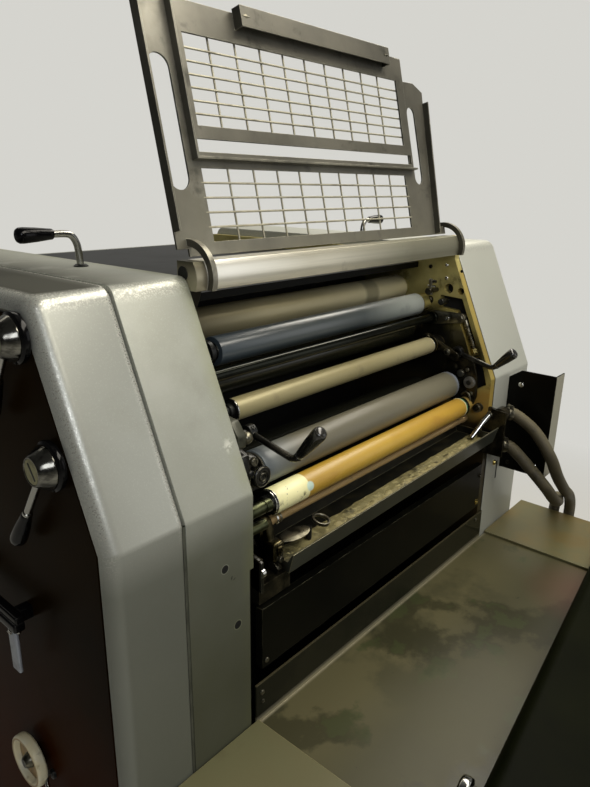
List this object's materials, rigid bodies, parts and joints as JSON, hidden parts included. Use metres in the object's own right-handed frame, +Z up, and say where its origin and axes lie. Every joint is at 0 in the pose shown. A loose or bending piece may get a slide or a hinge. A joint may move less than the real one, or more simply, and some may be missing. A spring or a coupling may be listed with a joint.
{
  "type": "offset printing press",
  "caption": "Grey sheet-fed offset press with an open roller bay, a raised wire guard, a steel feed table with a hood, side dials and levers, and a water pan fed by hoses.",
  "frame": {"origin": "on the floor, below the middle of the roller opening and of the tower's depth", "axes": "+X across the machine from the operator's side to the drive side, +Y from the open front to the back, +Z up"},
  "size_m": [1.234, 1.4879, 1.7891],
  "materials": {
    "machine_base": "dark painted casting",
    "operator_inner_cover": "silver-grey hammered enamel, satin",
    "operator_outer_cover": "silver-grey hammered enamel, satin",
    "operator_side_panel": "black enamel, semi-gloss",
    "drive_cover": "silver-grey hammered enamel, satin",
    "top_cover": "grey enamel, satin",
    "rear_cover": "silver-grey hammered enamel, satin",
    "inner_bulkhead": "oily dark paint",
    "operator_frame": "oily machined casting",
    "drive_frame": "olive primed casting with oil stains",
    "front_panel": "black enamel with ink smears",
    "front_housing": "grey enamel, satin",
    "table_plate": "stained rolled steel",
    "operator_table_rail": "stained rolled steel",
    "drive_table_rail": "stained rolled steel",
    "front_hood": "green-black enamel, satin",
    "hood_knob": "worn chrome",
    "cross_bar": "bare worn steel",
    "guard_frame": "dark oiled steel, worn bare at the edges",
    "guard_mesh": "dull galvanised wire",
    "upper_guard_frame": "dark oiled steel, worn bare at the edges",
    "upper_guard_mesh": "dull galvanised wire",
    "ink_drum": "ink-stained steel",
    "upper_rubber_roller": "blue-black rubber",
    "dark_roller": "inked rubber",
    "linkage_shaft": "blackened steel",
    "steel_roller": "dull ground steel",
    "form_roller": "slate-blue rubber",
    "plate_cylinder": "inked dark plate, glossy",
    "damping_roller": "damp amber sleeve with a cream end",
    "pan_rod": "copper-tinted steel",
    "water_pan": "grimy dark sheet steel",
    "pan_brackets": "oily casting",
    "operator_crank": "bare rod with a black plastic grip",
    "drive_crank": "bare rod with a black plastic grip",
    "spring_rod": "oily spring steel",
    "upper_dial": "polished chrome with a black plastic grip",
    "lower_dial": "polished chrome with a black plastic grip",
    "ring_handwheel": "cream moulded plastic",
    "side_bar": "black gloss",
    "top_lever": "polished chrome with a black plastic grip",
    "rear_lever": "polished chrome with a black plastic grip",
    "side_guard_plate": "matt black sheet steel",
    "upper_hose": "grey-brown rubber hose",
    "lower_hose": "grey-brown rubber hose"
  },
  "bodies": {
    "machine": {"machine_base": "machine_base", "operator_inner_cover": "operator_inner_cover", "operator_outer_cover": "operator_outer_cover", "operator_side_panel": "operator_side_panel", "drive_cover": "drive_cover", "top_cover": "top_cover", "rear_cover": "rear_cover", "inner_bulkhead": "inner_bulkhead", "operator_frame": "operator_frame", "drive_frame": "drive_frame", "front_panel": "front_panel", "front_housing": "front_housing", "table_plate": "table_plate", "operator_table_rail": "operator_table_rail", "drive_table_rail": "drive_table_rail", "linkage_shaft": "linkage_shaft", "water_pan": "water_pan", "pan_brackets": "pan_brackets", "spring_rod": "spring_rod", "side_bar": "side_bar", "side_guard_plate": "side_guard_plate", "upper_hose": "upper_hose", "lower_hose": "lower_hose"},
    "guard": {"cross_bar": "cross_bar", "guard_frame": "guard_frame", "guard_mesh": "guard_mesh", "upper_guard_frame": "upper_guard_frame", "upper_guard_mesh": "upper_guard_mesh"},
    "hood": {"front_hood": "front_hood", "hood_knob": "hood_knob"},
    "ink_drum": {"ink_drum": "ink_drum"},
    "upper_rubber_roller": {"upper_rubber_roller": "upper_rubber_roller"},
    "dark_roller": {"dark_roller": "dark_roller"},
    "steel_roller": {"steel_roller": "steel_roller"},
    "form_roller": {"form_roller": "form_roller"},
    "plate_cylinder": {"plate_cylinder": "plate_cylinder"},
    "damping_roller": {"damping_roller": "damping_roller"},
    "pan_rod": {"pan_rod": "pan_rod"},
    "operator_crank": {"operator_crank": "operator_crank"},
    "drive_crank": {"drive_crank": "drive_crank"},
    "upper_dial": {"upper_dial": "upper_dial"},
    "lower_dial": {"lower_dial": "lower_dial"},
    "ring_handwheel": {"ring_handwheel": "ring_handwheel"},
    "top_lever": {"top_lever": "top_lever"},
    "rear_lever": {"rear_lever": "rear_lever"}
  },
  "joints": [
    {"name": "guard_swing", "type": "hinge", "parent": "machine", "child": "guard", "pos_m": [0, -0.356, 1.442], "axis": [1, 0, 0], "range_deg": [0, 130]},
    {"name": "hood_swing", "type": "hinge", "parent": "machine", "child": "hood", "pos_m": [0.548, -0.85, 0.828], "axis": [0, 0, 1], "range_deg": [-6.2, 70]},
    {"name": "ink_drum_turn", "type": "hinge", "parent": "machine", "child": "ink_drum", "pos_m": [0, -0.25, 1.343], "axis": [1, 0, 0], "continuous": true},
    {"name": "upper_rubber_roller_turn", "type": "hinge", "parent": "machine", "child": "upper_rubber_roller", "pos_m": [0, -0.308, 1.315], "axis": [1, 0, 0], "continuous": true},
    {"name": "dark_roller_turn", "type": "hinge", "parent": "machine", "child": "dark_roller", "pos_m": [0, -0.29, 1.262], "axis": [1, 0, 0], "continuous": true},
    {"name": "steel_roller_turn", "type": "hinge", "parent": "machine", "child": "steel_roller", "pos_m": [0, -0.347, 1.232], "axis": [1, 0, 0], "continuous": true},
    {"name": "form_roller_turn", "type": "hinge", "parent": "machine", "child": "form_roller", "pos_m": [0, -0.3955, 1.153], "axis": [1, 0, 0], "continuous": true},
    {"name": "plate_cylinder_turn", "type": "hinge", "parent": "machine", "child": "plate_cylinder", "pos_m": [0, -0.3273, 1.1151], "axis": [1, 0, 0], "continuous": true},
    {"name": "damping_roller_turn", "type": "hinge", "parent": "machine", "child": "damping_roller", "pos_m": [0, -0.4295, 1.1112], "axis": [1, 0, 0], "continuous": true},
    {"name": "pan_rod_turn", "type": "hinge", "parent": "machine", "child": "pan_rod", "pos_m": [0, -0.4275, 1.0786], "axis": [1, 0, 0], "continuous": true},
    {"name": "operator_crank_swing", "type": "hinge", "parent": "machine", "child": "operator_crank", "pos_m": [-0.262, -0.375, 1.202], "axis": [1, 0, 0], "range_deg": [-60, 5]},
    {"name": "drive_crank_swing", "type": "hinge", "parent": "machine", "child": "drive_crank", "pos_m": [0.328, -0.404, 1.223], "axis": [1, 0, 0], "range_deg": [-60, 5]},
    {"name": "upper_dial_turn", "type": "hinge", "parent": "machine", "child": "upper_dial", "pos_m": [-0.585, -0.342, 1.392], "axis": [1, 0, 0], "range_deg": [-20, 60]},
    {"name": "lower_dial_turn", "type": "hinge", "parent": "machine", "child": "lower_dial", "pos_m": [-0.585, -0.39, 1.257], "axis": [1, 0, 0], "range_deg": [-40, 40]},
    {"name": "handwheel_turn", "type": "hinge", "parent": "machine", "child": "ring_handwheel", "pos_m": [-0.585, -0.249, 0.753], "axis": [1, 0, 0], "continuous": true},
    {"name": "top_lever_swing", "type": "hinge", "parent": "machine", "child": "top_lever", "pos_m": [-0.398, -0.18, 1.46], "axis": [0, 0, 1], "range_deg": [-40, 40]},
    {"name": "rear_lever_swing", "type": "hinge", "parent": "machine", "child": "rear_lever", "pos_m": [0.372, -0.113, 1.46], "axis": [0, 0, 1], "range_deg": [-40, 40]}
  ]
}
